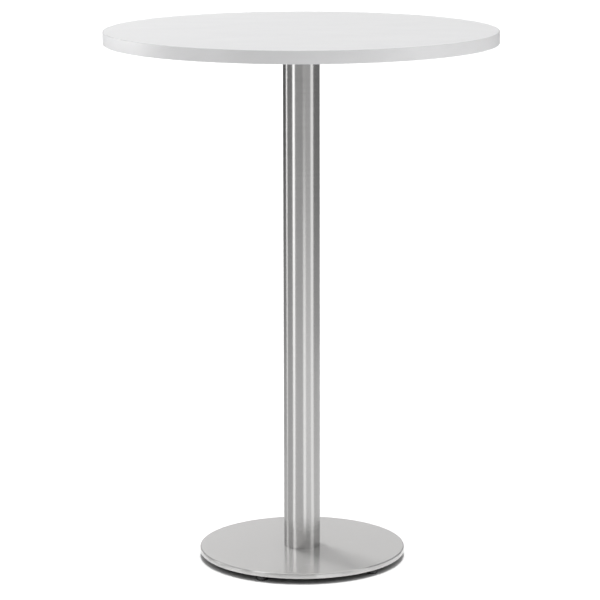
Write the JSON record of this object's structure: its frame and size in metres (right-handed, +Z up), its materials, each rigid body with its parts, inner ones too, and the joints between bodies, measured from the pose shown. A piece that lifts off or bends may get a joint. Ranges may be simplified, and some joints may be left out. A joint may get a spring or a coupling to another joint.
{
  "type": "bistro table",
  "caption": "Bar-height bistro table: round white laminate top on a brushed steel column and a weighted round steel base with levelling feet.",
  "frame": {"origin": "on the floor, under the middle of the column", "axes": "+Z up along the column, front towards -Y, +X to the right seen from the front"},
  "size_m": [0.8, 0.8, 1.1],
  "materials": {
    "white_laminate": "satin",
    "backer_laminate": "matte",
    "white_edge_band": "satin",
    "particleboard": "matte",
    "zinc_alloy": "satin",
    "black_powder_coat": "satin",
    "zinc_plated_steel": "satin",
    "bare_steel": "satin",
    "brushed_stainless_column": "satin",
    "brushed_stainless_base": "satin",
    "black_ballast_paint": "matte",
    "black_nylon": "satin"
  },
  "bodies": {
    "table": {"tabletop_core": "particleboard", "tabletop_laminate": "white_laminate", "tabletop_backer": "backer_laminate", "tabletop_edge_band": "white_edge_band", "threaded_inserts": "zinc_alloy", "spider_hub": "black_powder_coat", "spider_arm_1": "black_powder_coat", "spider_arm_2": "black_powder_coat", "spider_arm_3": "black_powder_coat", "spider_arm_4": "black_powder_coat", "spider_washers": "zinc_plated_steel", "spider_screws": "zinc_plated_steel", "column_tube": "brushed_stainless_column", "head_plug": "bare_steel", "foot_plug": "bare_steel", "tie_rod": "zinc_plated_steel", "tie_rod_washer": "zinc_plated_steel", "tie_rod_spring_washer": "zinc_plated_steel", "tie_rod_nut": "zinc_plated_steel", "base_cover": "brushed_stainless_base", "base_weight": "black_ballast_paint", "foot_plug_screws": "zinc_plated_steel"},
    "pad_1": {"foot_pad_1": "black_nylon"},
    "stem_1": {"foot_stem_1": "zinc_plated_steel"},
    "pad_2": {"foot_pad_2": "black_nylon"},
    "stem_2": {"foot_stem_2": "zinc_plated_steel"},
    "pad_3": {"foot_pad_3": "black_nylon"},
    "stem_3": {"foot_stem_3": "zinc_plated_steel"},
    "pad_4": {"foot_pad_4": "black_nylon"},
    "stem_4": {"foot_stem_4": "zinc_plated_steel"},
    "pad_5": {"foot_pad_5": "black_nylon"},
    "stem_5": {"foot_stem_5": "zinc_plated_steel"}
  },
  "joints": [
    {"name": "pad_1_lift", "type": "slide", "parent": "table", "child": "pad_1", "axis": [0, 0, -1], "range_m": [0, 0.0041]},
    {"name": "stem_1_turn", "type": "hinge", "parent": "pad_1", "child": "stem_1", "pos_m": [-0.08199, -0.17582, 0.0052], "axis": [0, 0, -1], "range_deg": [0, 1150]},
    {"name": "pad_2_lift", "type": "slide", "parent": "table", "child": "pad_2", "axis": [0, 0, -1], "range_m": [0, 0.0041]},
    {"name": "stem_2_turn", "type": "hinge", "parent": "pad_2", "child": "stem_2", "pos_m": [0.14188, -0.13231, 0.0052], "axis": [0, 0, -1], "range_deg": [0, 1150]},
    {"name": "pad_3_lift", "type": "slide", "parent": "table", "child": "pad_3", "axis": [0, 0, -1], "range_m": [0, 0.0041]},
    {"name": "stem_3_turn", "type": "hinge", "parent": "pad_3", "child": "stem_3", "pos_m": [0.16968, 0.09405, 0.0052], "axis": [0, 0, -1], "range_deg": [0, 1150]},
    {"name": "pad_4_lift", "type": "slide", "parent": "table", "child": "pad_4", "axis": [0, 0, -1], "range_m": [0, 0.0041]},
    {"name": "stem_4_turn", "type": "hinge", "parent": "pad_4", "child": "stem_4", "pos_m": [-0.03702, 0.19044, 0.0052], "axis": [0, 0, -1], "range_deg": [0, 1150]},
    {"name": "pad_5_lift", "type": "slide", "parent": "table", "child": "pad_5", "axis": [0, 0, -1], "range_m": [0, 0.0041]},
    {"name": "stem_5_turn", "type": "hinge", "parent": "pad_5", "child": "stem_5", "pos_m": [-0.19255, 0.02364, 0.0052], "axis": [0, 0, -1], "range_deg": [0, 1150]}
  ],
  "couplings": [
    {"joint": "pad_1_lift", "follows": "stem_1_turn", "m_per_rad": 0.00019894},
    {"joint": "pad_2_lift", "follows": "stem_2_turn", "m_per_rad": 0.00019894},
    {"joint": "pad_3_lift", "follows": "stem_3_turn", "m_per_rad": 0.00019894},
    {"joint": "pad_4_lift", "follows": "stem_4_turn", "m_per_rad": 0.00019894},
    {"joint": "pad_5_lift", "follows": "stem_5_turn", "m_per_rad": 0.00019894}
  ]
}
